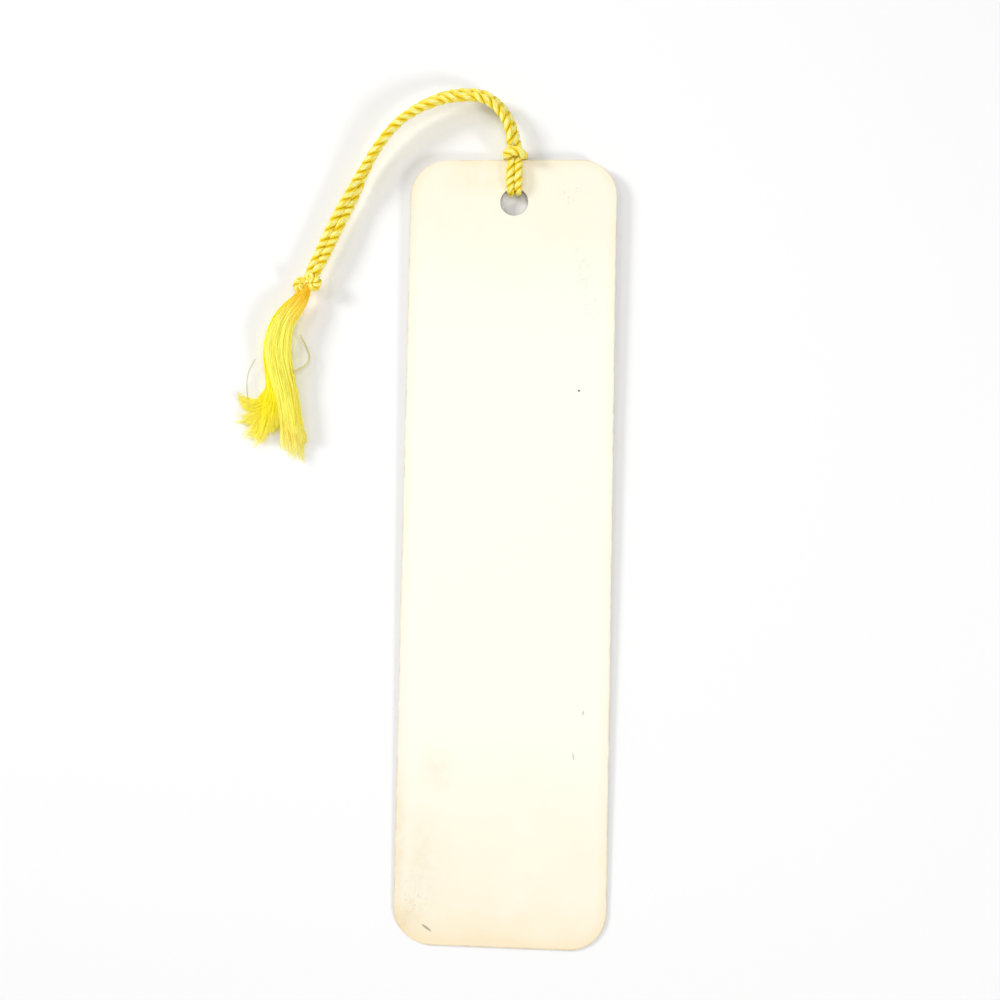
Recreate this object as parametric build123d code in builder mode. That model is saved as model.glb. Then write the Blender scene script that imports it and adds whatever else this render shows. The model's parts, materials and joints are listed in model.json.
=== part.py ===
"""A card bookmark with a doubled cord, a knot and a fringe, lying on a table (millimetres).

+X runs across the card, +Y along it to the cord's end and +Z up. The origin is on the table, under the
middle of the card. The card's top end rests on the cord that passes under it, so the card leans a little.
"""

import os
from math import asin, cos, degrees, radians, sin, sqrt, tan

from build123d import *

# Card
card_width = 50.8
card_length = 190.5
card_thickness = 0.45
corner_radius = 9.0
hole_diameter = 6.7
hole_to_edge = 10.5
hole_offset = 0.3

# Cord, which is drawn thinner where the hitch is pulled tight
cord_diameter = 2.1
hitch_diameter = 1.8
leg_gap = 0.2
hitch_leg_gap = 0.1
card_gap = 0.15
table_gap = 0.02

# Hitch: how far its bight stands past the card's top edge, at its foot and at its crown
bight_foot = 1.7
bight_crown = 2.5

# Neck, where the doubled cord turns over and swings
neck_length = 1.6
neck_lean = 8.0
roll_gap = 0.35
swing_gap = 0.25

# Free cord: the middle of its two legs, from the top edge's middle: x, y, height and turn of the pair
cord_route = [
    (-3.4, 13.95, 3.8, -24),
    (-7.2, 16.35, 4.0, -50),
    (-12.2, 16.85, 4.2, -72),
    (-17.7, 15.65, 4.2, -86),
    (-23.4, 12.95, 4.0, -95),
    (-29.0, 8.95, 3.8, -100),
    (-33.8, 3.65, 3.5, -110),
    (-37.4, -2.65, 3.3, -130),
    (-40.7, -8.85, 3.2, -155),
    (-43.9, -15.45, 3.2, -175),
    (-47.2, -22.75, 3.3, -180),
    (-49.65, -29.25, 3.3, -180),
]

# Knot: one turn of cord round the gathered legs
wrap_radius = 2.2
wrap_pitch = 2.2
wrap_turns = 1.1
wrap_sides = 8
core_width = 2.8
core_gather = 2.4

# Fringe, from its pivot under the knot: x, y, height of its middle, width, depth and locks abreast
fringe_gap = 0.2
head_radius = 1.75
lock_gap = 0.14
outer_lock_share = 0.85
fringe_run = [
    (0.7, 1.87, 3.3, 3.3, 2.9, 4),
    (-0.4, -0.4, 3.2, 3.6, 3.3, 4),
    (-2.5, -2.8, 3.0, 5.1, 4.4, 4),
    (-4.8, -6.2, 2.9, 6.4, 5.4, 4),
    (-5.8, -12.4, 3.1, 7.3, 6.0, 4),
    (-4.6, -18.3, 3.0, 6.8, 5.8, 4),
    (-3.1, -23.8, 2.7, 5.6, 5.2, 3),
    (-2.0, -29.8, 2.3, 6.0, 4.4, 3),
    (-0.7, -38.3, 1.6, 6.6, 3.0, 3),
]
side_lock_end = [
    (-8.2, -22.0, 2.1, 2.9, 3.6, 1),
    (-10.2, -26.2, 1.6, 6.2, 2.8, 1),
    (-12.0, -31.1, 1.1, 11.5, 1.8, 1),
]

# Heights above the card's underside, and places along the card, that the hitch works out from these sizes
front_height = card_thickness + card_gap + hitch_diameter / 2
back_height = -card_gap - hitch_diameter / 2
crown_height = front_height + hitch_diameter + hitch_leg_gap
edge_y = card_length / 2
hole_y = edge_y - hole_to_edge
hitch_side = (hitch_diameter + hitch_leg_gap) / 2
bight_side = hitch_side + hitch_diameter + hitch_leg_gap
hole_room = hole_diameter / 2 - hitch_diameter / 2 - card_gap
hole_turn_y = hole_y + sqrt(hole_room**2 - hitch_side**2)
tail_y = edge_y + bight_crown + hitch_diameter / 2 + hitch_leg_gap

# The card leans so that its lower edge and the cord behind it both lie on the table
back_depth = hitch_diameter + card_gap + table_gap
card_lean = degrees(asin(back_depth / (edge_y + hole_turn_y)))
card_plane = Plane(
    origin=(0, card_thickness * sin(radians(card_lean)) / 2, edge_y * sin(radians(card_lean))),
    x_dir=(1, 0, 0),
    z_dir=(0, -sin(radians(card_lean)), cos(radians(card_lean))),
)
up = Vector(0, 0, 1)


def bend_radii(points):
    """The arc at each inner point of a cord's route, as large as the two runs beside it allow."""
    radii = []
    for before, here, after in zip(points, points[1:], points[2:]):
        run_in = here - before
        run_out = after - here
        half_turn = radians(run_in.get_angle(run_out)) / 2
        radii.append(0.45 * min(run_in.length, run_out.length) / tan(half_turn))
    return radii


def add_cord(points, diameter):
    """Sweeps a round cord along straight runs joined by tangent arcs, and prints its length and radii."""
    radii = bend_radii(points)
    with BuildLine() as route:
        FilletPolyline(*points, radius=radii)
    path = route.wires()[0]
    with BuildSketch(Plane(path @ 0, z_dir=path % 0)) as section:
        Circle(diameter / 2)
    sweep(sections=section.sketch, path=path)
    print(f"cord {path.length:.1f} mm long, radii {[round(r, 1) for r in radii]}")


def round_off_start(pivot, along, radius, depth):
    """Rounds the end of a piece about the upright axis that it swings on, behind its pivot."""
    reach = 3 * radius
    with BuildSketch(Plane(pivot, x_dir=along, z_dir=up)) as corners:
        Rectangle(reach, 2 * reach, align=(Align.MAX, Align.CENTER))
        Circle(radius, mode=Mode.SUBTRACT)
    extrude(corners.sketch, amount=depth, both=True, mode=Mode.SUBTRACT)


def oval_section(middle, along, width, depth):
    """Draws an upright oval of four arcs across a lock or the knot's core."""
    with BuildSketch(Plane(middle, x_dir=along.cross(up), z_dir=along)) as oval:
        with BuildLine():
            corners = [(width / 2, 0), (0, depth / 2), (-width / 2, 0), (0, -depth / 2)]
            for start, end in zip(corners, corners[1:] + corners[:1]):
                bulge = ((start[0] + end[0]) * sqrt(0.5), (start[1] + end[1]) * sqrt(0.5))
                ThreePointArc(start, bulge, end)
        make_face()
    return oval.sketch


# Card
with BuildPart() as card:
    with BuildSketch(card_plane):
        RectangleRounded(card_width, card_length, corner_radius)
        with Locations((hole_offset, hole_y)):
            Circle(hole_diameter / 2, mode=Mode.SUBTRACT)
    extrude(amount=card_thickness)
card.part.label = "card"

# Hitch: each leg runs down the front, through the hole and up the back, and the bight crosses both legs
half_hitch = [
    (-hitch_side, tail_y, front_height),
    (-hitch_side, hole_turn_y, front_height),
    (-hitch_side, hole_turn_y, back_height),
    (-bight_side, edge_y + bight_foot, back_height),
    (-bight_side, edge_y + bight_crown, crown_height),
]
other_half = [(-x, y, z) for x, y, z in reversed(half_hitch)]
hitch_points = [
    card_plane.from_local_coords(Vector(hole_offset + x, y, z)) for x, y, z in half_hitch + other_half
]
with BuildPart() as hitch_loop:
    add_cord(hitch_points, hitch_diameter)
hitch_loop.part.label = "hitch_loop"

# Neck: it turns over about its own length, and the free legs swing about an upright axis past its end
leg_side = (cord_diameter + leg_gap) / 2
pair_half_width = leg_side + cord_diameter / 2
swing_radius = pair_half_width + leg_gap / 2
neck_along = Vector(-sin(radians(neck_lean)), cos(radians(neck_lean)), 0)
tail_end = card_plane.from_local_coords(Vector(hole_offset, tail_y, front_height))
neck_start = tail_end + neck_along * roll_gap
swing_pivot = neck_start + neck_along * (neck_length + swing_gap + swing_radius)
with BuildPart() as cord_neck:
    with BuildSketch(Plane(neck_start, x_dir=neck_along.cross(up), z_dir=neck_along)):
        with GridLocations(2 * leg_side, 0, 2, 1):
            Circle(cord_diameter / 2)
    extrude(amount=neck_length)
cord_neck.part.label = "cord_neck"

# Free legs: the pair lies flat at the neck and turns half round by the knot
edge_middle = Vector(0, edge_y, 0)
pair_middles = [swing_pivot - neck_along * (swing_radius + leg_gap), swing_pivot + neck_along * swing_radius]
pair_turns = [0, 0]
for x, y, z, turn in cord_route:
    pair_middles.append(edge_middle + Vector(x, y, z))
    pair_turns.append(turn)
knot_along = (pair_middles[-1] - pair_middles[-2]).normalized()


def leg_points(side):
    """The route of one leg, on one side (-1 or 1) of the middle of the pair."""
    points = []
    for i, (middle, turn) in enumerate(zip(pair_middles, pair_turns)):
        along = pair_middles[min(i + 1, len(pair_middles) - 1)] - pair_middles[max(i - 1, 0)]
        if i <= 1:
            along = neck_along
        if i >= len(pair_middles) - 2:
            along = knot_along
        across = along.cross(up).normalized()
        over = across.cross(along).normalized()
        offset = across * cos(radians(turn)) + over * sin(radians(turn))
        points.append(middle + offset * side * leg_side)
    return points


with BuildPart() as cord_leg_left:
    add_cord(leg_points(-1), cord_diameter)
    round_off_start(swing_pivot, neck_along, swing_radius, cord_diameter)
cord_leg_left.part.label = "cord_leg_left"

with BuildPart() as cord_leg_right:
    add_cord(leg_points(1), cord_diameter)
    round_off_start(swing_pivot, neck_along, swing_radius, cord_diameter)
cord_leg_right.part.label = "cord_leg_right"

# Knot: the legs gather into a core, and a turn of cord wraps it
knot_top = pair_middles[-1]
knot_middle = knot_top + knot_along * core_gather
knot_end = knot_middle + knot_along * (wrap_pitch * wrap_turns + cord_diameter) / 2
knot_across = knot_along.cross(up)
wrap_corner = wrap_radius / cos(radians(180 / wrap_sides))
wrap_steps = round(wrap_turns * wrap_sides)
wrap_points = []
for step in range(wrap_steps + 1):
    turns = (step - wrap_steps / 2) / wrap_sides
    outward = up * cos(radians(360 * turns)) - knot_across * sin(radians(360 * turns))
    wrap_points.append(knot_middle + outward * wrap_corner + knot_along * wrap_pitch * turns)
knot_core = [
    oval_section(knot_top, knot_along, 2 * pair_half_width, cord_diameter),
    oval_section(knot_middle, knot_along, core_width, core_width),
    oval_section(knot_end, knot_along, core_width, core_width),
]
with BuildPart() as tassel_knot:
    loft(knot_core)
    add_cord(wrap_points, cord_diameter)
tassel_knot.part.label = "tassel_knot"

# Fringe: four locks of floss side by side, gathered in a round head that swings under the knot
fringe_pivot = knot_end + knot_along * (fringe_gap + head_radius)
fringe_pivot = Vector(fringe_pivot.X, fringe_pivot.Y, 0)


def lock_sections(lane):
    """The middle, width and depth of one lock at each section, counted from the right of the fringe."""
    sections = []
    middles = [fringe_pivot + Vector(x, y, z) for x, y, z, *_ in fringe_run]
    for i, (*_, width, depth, abreast) in enumerate(fringe_run):
        if lane >= abreast:
            break
        along = middles[min(i + 1, len(middles) - 1)] - middles[max(i - 1, 0)]
        across = Vector(along.X, along.Y, 0).cross(up).normalized()
        lock_width = width / abreast
        share = outer_lock_share if lane in (0, abreast - 1) else 1
        place = middles[i] + across * (lock_width * (lane + 0.5) - width / 2)
        sections.append((place, lock_width - lock_gap, depth * share))
    return sections


def add_lock(sections):
    """Lofts one lock through upright ovals across its run, and rounds its head."""
    places = [place for place, _, _ in sections]
    ovals = []
    for i, (place, width, depth) in enumerate(sections):
        along = places[min(i + 1, len(places) - 1)] - places[max(i - 1, 0)]
        ovals.append(oval_section(place, Vector(along.X, along.Y, 0).normalized(), width, depth))
    loft(ovals, ruled=True)
    round_off_start(fringe_pivot, knot_along, head_radius, 3 * cord_diameter)


side_sections = lock_sections(3)
side_sections += [(fringe_pivot + Vector(x, y, z), width, depth) for x, y, z, width, depth, _ in side_lock_end]
with BuildPart() as fringe_side_lock:
    add_lock(side_sections)
fringe_side_lock.part.label = "fringe_side_lock"

with BuildPart() as fringe_left_lock:
    add_lock(lock_sections(2))
fringe_left_lock.part.label = "fringe_left_lock"

with BuildPart() as fringe_middle_lock:
    add_lock(lock_sections(1))
fringe_middle_lock.part.label = "fringe_middle_lock"

with BuildPart() as fringe_right_lock:
    add_lock(lock_sections(0))
fringe_right_lock.part.label = "fringe_right_lock"

pieces = [
    card,
    hitch_loop,
    cord_neck,
    cord_leg_left,
    cord_leg_right,
    tassel_knot,
    fringe_side_lock,
    fringe_left_lock,
    fringe_middle_lock,
    fringe_right_lock,
]
os.makedirs("parts", exist_ok=True)
for piece in pieces:
    export_step(piece.part, f"parts/{piece.part.label}.step")
print(f"card leans {card_lean:.3f} degrees")
print(f"roll axis at {neck_start}, along {neck_along}")
print(f"swing axis at {swing_pivot}, fringe axis at {fringe_pivot}")
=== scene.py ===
"""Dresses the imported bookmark: its ivory card, its hitched and twisted cord, its knot and its floss fringe.

Lengths in the fields are millimetres and turn to metres where they meet Blender. The row frame has +X across
the card, +Y along it to the cord's end and +Z up from the table that everything lies on.
"""

import json
import logging
import math
from dataclasses import dataclass
from enum import Enum
from typing import Any, Mapping, Sequence

import bmesh
import bpy
import numpy as np
from bpy.types import ID, Material, Mesh, NodeInputs, NodeOutputs, NodeSocket, NodeTree, Object
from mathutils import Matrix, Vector


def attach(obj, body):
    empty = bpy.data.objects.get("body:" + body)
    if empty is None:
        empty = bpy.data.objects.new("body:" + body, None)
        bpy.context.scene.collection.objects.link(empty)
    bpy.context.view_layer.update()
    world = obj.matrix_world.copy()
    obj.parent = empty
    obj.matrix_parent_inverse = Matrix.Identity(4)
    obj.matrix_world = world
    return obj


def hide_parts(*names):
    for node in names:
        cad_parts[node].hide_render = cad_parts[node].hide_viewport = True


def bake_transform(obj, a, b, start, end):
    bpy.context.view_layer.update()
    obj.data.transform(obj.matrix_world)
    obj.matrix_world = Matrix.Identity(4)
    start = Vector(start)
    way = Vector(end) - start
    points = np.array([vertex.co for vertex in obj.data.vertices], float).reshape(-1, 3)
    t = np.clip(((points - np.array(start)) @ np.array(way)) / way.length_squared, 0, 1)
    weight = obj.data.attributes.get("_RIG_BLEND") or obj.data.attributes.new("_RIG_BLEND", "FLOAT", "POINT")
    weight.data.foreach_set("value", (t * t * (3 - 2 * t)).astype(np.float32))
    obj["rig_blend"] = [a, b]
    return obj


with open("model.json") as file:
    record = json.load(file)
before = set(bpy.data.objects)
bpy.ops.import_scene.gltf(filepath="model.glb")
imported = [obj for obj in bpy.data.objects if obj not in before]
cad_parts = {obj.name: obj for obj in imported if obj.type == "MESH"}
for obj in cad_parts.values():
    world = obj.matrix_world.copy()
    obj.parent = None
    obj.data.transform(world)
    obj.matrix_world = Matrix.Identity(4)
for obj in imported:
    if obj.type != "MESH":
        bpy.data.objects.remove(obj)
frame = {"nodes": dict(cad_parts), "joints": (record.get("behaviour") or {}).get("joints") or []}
log = logging.getLogger("bookmark")

MM = 0.001
UP = Vector((0, 0, 1))
MATH = "ShaderNodeMath"
VECTORS = "ShaderNodeVectorMath"

Span = tuple[float, float]
Triple = tuple[float, float, float]
Rows = tuple[tuple[float, ...], ...]


class Side(Enum):
    """One of the two legs of the doubled cord, as it lies where the pair leaves the hitch."""

    LEFT = -1
    RIGHT = 1


class Wear(Enum):
    """The kinds of wear on the card's face, each with the share of a mark that is inside its soft edge."""

    SPECK = 0.6
    SCUFF = 0.2
    STAIN = 0.0


def linear(colour: str) -> tuple[float, float, float, float]:
    """Turns an sRGB hex colour to linear RGBA.

    Args:
        colour: six hex digits after a hash.

    Returns:
        Red, green, blue and an alpha of one.
    """
    parts = [int(colour[i : i + 2], 16) / 255 for i in (1, 3, 5)]
    red, green, blue = (c / 12.92 if c <= 0.04045 else ((c + 0.055) / 1.055) ** 2.4 for c in parts)
    return (red, green, blue, 1.0)


def joint_vector(name: str, key: str) -> Vector:
    """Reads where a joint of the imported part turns, by the key "pos_m", or its axis, by the key "axis"."""
    return Vector(next(j for j in frame["joints"] if j["name"] == name)[key])


def blend_ends(pivot: Vector, way: Vector, reach: Span) -> tuple[Vector, Vector]:
    """Finds a blend's two ends, by how many millimetres it reaches before its pivot and past it."""
    return pivot - way * (reach[0] * MM), pivot + way * (reach[1] * MM)


def add_node(tree: NodeTree, kind: str, inputs: Mapping[Any, Any] | None = None, **settings: Any) -> NodeOutputs:
    """Adds one node with its settings and links.

    Args:
        tree: the shader or geometry tree that the node joins.
        kind: the node's type name.
        inputs: values, or sockets to link, by the name or number of the input.
        settings: the node's own properties.

    Returns:
        The new node's outputs.
    """
    node = tree.nodes.new(kind)
    for name, value in settings.items():
        setattr(node, name, value)
    for key, value in (inputs or {}).items():
        if isinstance(value, NodeSocket):
            tree.links.new(value, node.inputs[key])
        else:
            node.inputs[key].default_value = value
    return node.outputs


def chain(tree: NodeTree, kind: str, value: Any, *steps: tuple[Any, ...]) -> NodeSocket:
    """Adds a row of nodes of one kind, each of which works on what comes out of the one before.

    Args:
        tree: the tree that the nodes join.
        kind: the nodes' type name.
        value: what goes into the first node.
        steps: each node's operation, then what goes into its other inputs.

    Returns:
        What comes out of the last node.
    """
    for operation, *others in steps:
        value = add_node(tree, kind, dict(enumerate((value, *others))), operation=operation)[0]
    return value


def directions(rows: Rows, i: int) -> tuple[Vector, Vector]:
    """Finds the way along a run of points at one of them, and the level way across it.

    Args:
        rows: the run, with x, y and height first in each row.
        i: the number of the point.

    Returns:
        The way along, as long as its neighbours lie apart, and the way across, of length one.
    """
    along = Vector(rows[min(i + 1, len(rows) - 1)][:3]) - Vector(rows[max(i - 1, 0)][:3])
    return along, along.cross(UP).normalized()


def new_material(name: str, settings: Mapping[str, Any]) -> tuple[Material, NodeTree, NodeInputs]:
    """Starts a material with what is the same all over its surface.

    Args:
        name: the material's name.
        settings: the values of the shader's sockets.

    Returns:
        The material, its tree and its shader's inputs.
    """
    material = bpy.data.materials.new(name)
    material.use_nodes = True
    shader = material.node_tree.nodes["Principled BSDF"].inputs
    for key, value in settings.items():
        shader[key].default_value = value
    return material, material.node_tree, shader


def new_object(name: str, data: ID) -> Object:
    """Puts data in the scene as an object at the origin.

    Args:
        name: the object's name.
        data: its mesh, curve, light or camera.

    Returns:
        The linked object.
    """
    thing = bpy.data.objects.new(name, data)
    bpy.context.scene.collection.objects.link(thing)
    return thing


def plain_mesh(curve: Object) -> Mesh:
    """Turns a curve, as its modifiers leave it, to a mesh of its own."""
    return bpy.data.meshes.new_from_object(curve.evaluated_get(bpy.context.evaluated_depsgraph_get()))


def new_spline_curve(
    name: str,
    routes: Sequence[Sequence[Vector]],
    radii: Sequence[Sequence[float]],
    twists: Sequence[float] | None = None,
) -> Object:
    """Makes a curve object of smooth open splines.

    Args:
        name: the object's name.
        routes: the control points of each spline, in millimetres.
        radii: a radius for each control point.
        twists: turns by which the spline's points are twisted, if they are.

    Returns:
        The linked curve object.
    """
    data = bpy.data.curves.new(name, "CURVE")
    data.dimensions = "3D"
    data.twist_mode = "MINIMUM"
    for route, widths in zip(routes, radii):
        spline = data.splines.new("NURBS")
        spline.points.add(len(route) - 1)
        for point, place, width, twist in zip(spline.points, route, widths, twists or [0.0] * len(route)):
            point.co = (*(place * MM), 1.0)
            point.radius = width
            point.tilt = twist * math.tau
        spline.order_u = 3
        spline.use_endpoint_u = True
        spline.resolution_u = 16
    return new_object(name, data)


def read_line(curve: Object) -> np.ndarray:
    """Reads the points that a curve's smooth spline passes through.

    Args:
        curve: a curve object of one spline, with no bevel.

    Returns:
        The points in order, in metres, one row each.
    """
    mesh = plain_mesh(curve)
    line = np.array([v.co for v in mesh.vertices])
    bpy.data.meshes.remove(mesh)
    return line


def grow(curve: Object, tree: NodeTree, values: Mapping[str, Any], name: str) -> Object:
    """Grows a thread tree along a curve and keeps the result as a plain mesh.

    Args:
        curve: the guide curve, which is removed afterwards.
        tree: a geometry tree whose inputs have names.
        values: the tree's inputs by name.
        name: the name of the new object.

    Returns:
        The mesh object, at the origin.
    """
    modifier = curve.modifiers.new("threads", "NODES")
    modifier.node_group = tree
    for item in tree.interface.items_tree:
        if item.in_out == "INPUT" and item.name in values:
            modifier[item.identifier] = values[item.name]
    mesh = plain_mesh(curve)
    curve.modifiers.remove(modifier)
    data = curve.data
    bpy.data.objects.remove(curve)
    bpy.data.curves.remove(data)
    mesh.name = name
    mesh.shade_smooth()
    return new_object(name, mesh)


def cut_out(source: Object, name: str, *stretches: Span) -> Object:
    """Copies one or more stretches of a cord, with their threads closed at the cuts.

    Args:
        source: a cord mesh with the attribute "along".
        name: the name of the new object.
        stretches: where each stretch starts and ends, in metres along the cord.

    Returns:
        The stretches as an object of their own.
    """
    work = bmesh.new()
    work.from_mesh(source.data)
    along = work.verts.layers.float["along"]
    outside = []
    for face in work.faces:
        place = sum(v[along] for v in face.verts) / len(face.verts)
        if not any(start <= place < end for start, end in stretches):
            outside.append(face)
    bmesh.ops.delete(work, geom=outside, context="FACES")
    bmesh.ops.holes_fill(work, edges=[e for e in work.edges if e.is_boundary], sides=0)
    bmesh.ops.recalc_face_normals(work, faces=work.faces)
    mesh = bpy.data.meshes.new(name)
    work.to_mesh(mesh)
    work.free()
    for material in source.data.materials:
        mesh.materials.append(material)
    mesh.shade_smooth()
    return new_object(name, mesh)


@dataclass(frozen=True)
class Mark:
    """One mark of wear on the card: its kind, middle, half length, half width, turn in degrees and strength."""

    kind: Wear
    across: float
    along: float
    half_length: float
    half_width: float
    turn: float
    strength: float


@dataclass(frozen=True)
class BoardPoint:
    """A point of the board as its patterns read it.

    It has its place, how far it faces up, how far past the corners' middles it lies, and the corners' radius.
    """

    tree: NodeTree
    place: NodeSocket
    facing: NodeSocket
    rim: NodeSocket
    corner: float


@dataclass(frozen=True)
class IvoryBoard:
    """Uncoated bleached card, die-cut, a little yellowed: matt, with faint fibres and browner ends and edges."""

    sheet: str = "#F8F7E9"
    aged: str = "#F4E4C2"
    cut: str = "#AE9A72"
    # the ring round the hole: painted shade along its rim, partly the hole's own darker cut edge
    hole_shade: str = "#6A6252"
    stain: str = "#D8B87C"
    dirt: str = "#5C4E38"
    roughness: float = 0.72
    # real fibres are too fine to show, so they are drawn this coarse
    fibre_mm: float = 0.4
    fibre_height_mm: float = 0.05
    fibre_strength: float = 0.15
    fleck_mm: float = 0.9
    patch_mm: float = 3.6
    # the span of noise that the blotches show, and how far they change the ageing between its ends
    blotch_mm: float = 14.0
    blotch_noise: Span = (0.36, 0.72)
    blotch_change: Span = (0.82, 1.3)
    # the darker line along the edge: its inner and outer distance from the edge, and its strength over its noise
    line_mm: Span = (0.4, 0.08)
    line_noise: Span = (0.35, 0.65)
    line_strength: Span = (0.05, 0.4)
    # the painted shade round the hole: its width outside the rim, and its strength at the rim
    hole_shade_mm: float = 0.16
    hole_shade_strength: float = 0.85
    rim_mm: float = 3.0
    rim_ageing: float = 0.3
    # each run of ageing along the card: where it starts, where it is full, and its strength there
    end_ageing: Rows = (
        (-34.0, -85.0, 0.36),
        (-80.0, -96.5, 0.44),
        (48.0, 90.0, 0.36),
    )
    # the noise at which stains and flecks of dirt start to show, and at which both are full
    stain_start: float = 0.25
    fleck_start: float = 0.55
    fleck_full: float = 0.75
    marks: tuple[Mark, ...] = (
        Mark(Wear.SPECK, 16.95, 38.06, 0.36, 0.3, 20, 0.95),
        Mark(Wear.SPECK, -17.3, -91.3, 1.7, 0.34, -34, 0.55),
        Mark(Wear.SPECK, 19.2, -39.5, 0.26, 0.7, -12, 0.38),
        Mark(Wear.SPECK, 17.0, -49.9, 0.24, 1.1, 8, 0.35),
        Mark(Wear.SCUFF, 17.4, 68.0, 3.2, 8.5, 10, 0.42),
        Mark(Wear.SCUFF, 20.5, 59.5, 3.0, 6.5, -15, 0.36),
        Mark(Wear.SCUFF, 14.5, 86.5, 6.0, 4.0, 0, 0.26),
        Mark(Wear.SCUFF, -20.0, -84.0, 4.5, 7.5, 0, 0.26),
        Mark(Wear.STAIN, -15.6, -54.0, 6.0, 8.5, 0, 0.22),
        Mark(Wear.STAIN, -23.0, -90.0, 9.0, 8.0, 30, 0.4),
        Mark(Wear.STAIN, -24.5, -74.0, 3.4, 22.0, 0, 0.36),
        Mark(Wear.STAIN, -19.5, -77.0, 11.0, 22.0, 0, 0.2),
        Mark(Wear.STAIN, -8.0, 91.0, 16.0, 6.0, 0, 0.2),
    )

    def material(self, width: float, length: float, corner: float, hole: Triple) -> Material:
        """Builds the board's material on the card's own coordinates.

        Args:
            width: the card's width.
            length: the card's length.
            corner: the radius of its corners.
            hole: the x and y of the hole's middle and the hole's radius.

        Returns:
            The finished material.
        """
        material, tree, shader = new_material(
            "bleached_board_die_cut", {"Roughness": self.roughness, "IOR": 1.45, "Specular IOR Level": 0.3}
        )
        place = add_node(tree, "ShaderNodeTexCoord")["Object"]
        normal = add_node(tree, "ShaderNodeNewGeometry")["Normal"]
        facing = add_node(tree, "ShaderNodeSeparateXYZ", {0: normal})["Z"]
        inner = Vector((width / 2 - corner, length / 2 - corner, 0)) * MM
        point = BoardPoint(tree, place, facing, self.rim_distance(tree, place, inner), corner)
        colour = linear(self.sheet)
        for share, tone in (
            (self.ageing(point), self.aged),
            (self.edge_darkening(point), self.cut),
            (self.hole_rim_shade(point, hole), self.hole_shade),
            (self.wear(point, {Wear.STAIN}), self.stain),
            (self.wear(point, {Wear.SCUFF, Wear.SPECK}), self.dirt),
            (self.cut_side(point), self.cut),
        ):
            mixed = {0: share, 6: colour, 7: linear(tone)}
            colour = add_node(tree, "ShaderNodeMix", mixed, data_type="RGBA")[2]
        tree.links.new(colour, shader["Base Color"])
        fine = {"Vector": place, "Scale": 1 / (self.fibre_mm * MM), "Detail": 3.0}
        fibres = add_node(tree, "ShaderNodeTexNoise", fine)["Fac"]
        raised = {"Strength": self.fibre_strength, "Distance": self.fibre_height_mm * MM, "Height": fibres}
        tree.links.new(add_node(tree, "ShaderNodeBump", raised)[0], shader["Normal"])
        return material

    def rim_distance(self, tree: NodeTree, place: NodeSocket, inner: Vector) -> NodeSocket:
        """Measures how far a point is past the middles of the rounded corners, which is their radius at the edge.

        Args:
            tree: the material's tree.
            place: the point.
            inner: the middle of one corner.

        Returns:
            The distance in metres.
        """
        past = chain(tree, VECTORS, place, ("ABSOLUTE",), ("SUBTRACT", inner), ("MAXIMUM", (0, 0, 0)))
        flat = chain(tree, VECTORS, past, ("MULTIPLY", (1, 1, 0)))
        return add_node(tree, VECTORS, {0: flat}, operation="LENGTH")["Value"]

    def ageing(self, point: BoardPoint) -> NodeSocket:
        """Yellows the board in blotches, most at its ends and along its rim.

        Args:
            point: the point of the board.

        Returns:
            The share of the aged tone.
        """
        tree = point.tree
        height = add_node(tree, "ShaderNodeSeparateXYZ", {0: point.place})["Y"]
        runs = [(point.rim, point.corner - self.rim_mm, point.corner, self.rim_ageing)]
        runs += [(height, *run) for run in self.end_ageing]
        ends = 0.0
        for value, start, full, most in runs:
            run = {"Value": value, "From Min": start * MM, "From Max": full * MM, "To Max": most}
            share = add_node(tree, "ShaderNodeMapRange", run, interpolation_type="SMOOTHSTEP")[0]
            ends = chain(tree, MATH, share, ("ADD", ends))
        coarse = {"Vector": point.place, "Scale": 1 / (self.blotch_mm * MM), "Detail": 5.0, "Roughness": 0.62}
        blotch = add_node(tree, "ShaderNodeTexNoise", coarse)["Fac"]
        (low, high), (least, most) = self.blotch_noise, self.blotch_change
        change = {"Value": blotch, "From Min": low, "From Max": high, "To Min": least, "To Max": most}
        blotch = add_node(tree, "ShaderNodeMapRange", change)[0]
        return add_node(tree, MATH, {0: ends, 1: blotch}, operation="MULTIPLY", use_clamp=True)[0]

    def edge_darkening(self, point: BoardPoint) -> NodeSocket:
        """Draws a thin, broken darker line along the card's edge.

        Args:
            point: the point of the board.

        Returns:
            The share of the bare cut's tone.
        """
        tree = point.tree
        start, full = ((point.corner - inset) * MM for inset in self.line_mm)
        drawn = {"Value": point.rim, "From Min": start, "From Max": full}
        line = add_node(tree, "ShaderNodeMapRange", drawn, interpolation_type="SMOOTHSTEP")[0]
        patches = {"Vector": point.place, "Scale": 1 / (self.patch_mm * MM), "Detail": 4.0}
        broken = add_node(tree, "ShaderNodeTexNoise", patches)["Fac"]
        (low, high), (least, most) = self.line_noise, self.line_strength
        strength = {"Value": broken, "From Min": low, "From Max": high, "To Min": least, "To Max": most}
        broken = add_node(tree, "ShaderNodeMapRange", strength)[0]
        return chain(tree, MATH, line, ("MULTIPLY", broken))

    def hole_rim_shade(self, point: BoardPoint, hole: Triple) -> NodeSocket:
        """Paints shade in a thin ring round the hole's rim, partly its own darker cut edge.

        Args:
            point: the point of the board.
            hole: the x and y of the hole's middle and the hole's radius.

        Returns:
            The share of the rim's painted shade.
        """
        tree = point.tree
        x, y, radius = (value * MM for value in hole)
        flat = chain(tree, VECTORS, point.place, ("MULTIPLY", (1, 1, 0)))
        away = add_node(tree, VECTORS, {0: flat, 1: (x, y, 0)}, operation="DISTANCE")["Value"]
        outer = radius + self.hole_shade_mm * MM
        dark = {"Value": away, "From Min": outer, "From Max": radius, "To Max": self.hole_shade_strength}
        return add_node(tree, "ShaderNodeMapRange", dark)[0]

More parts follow.
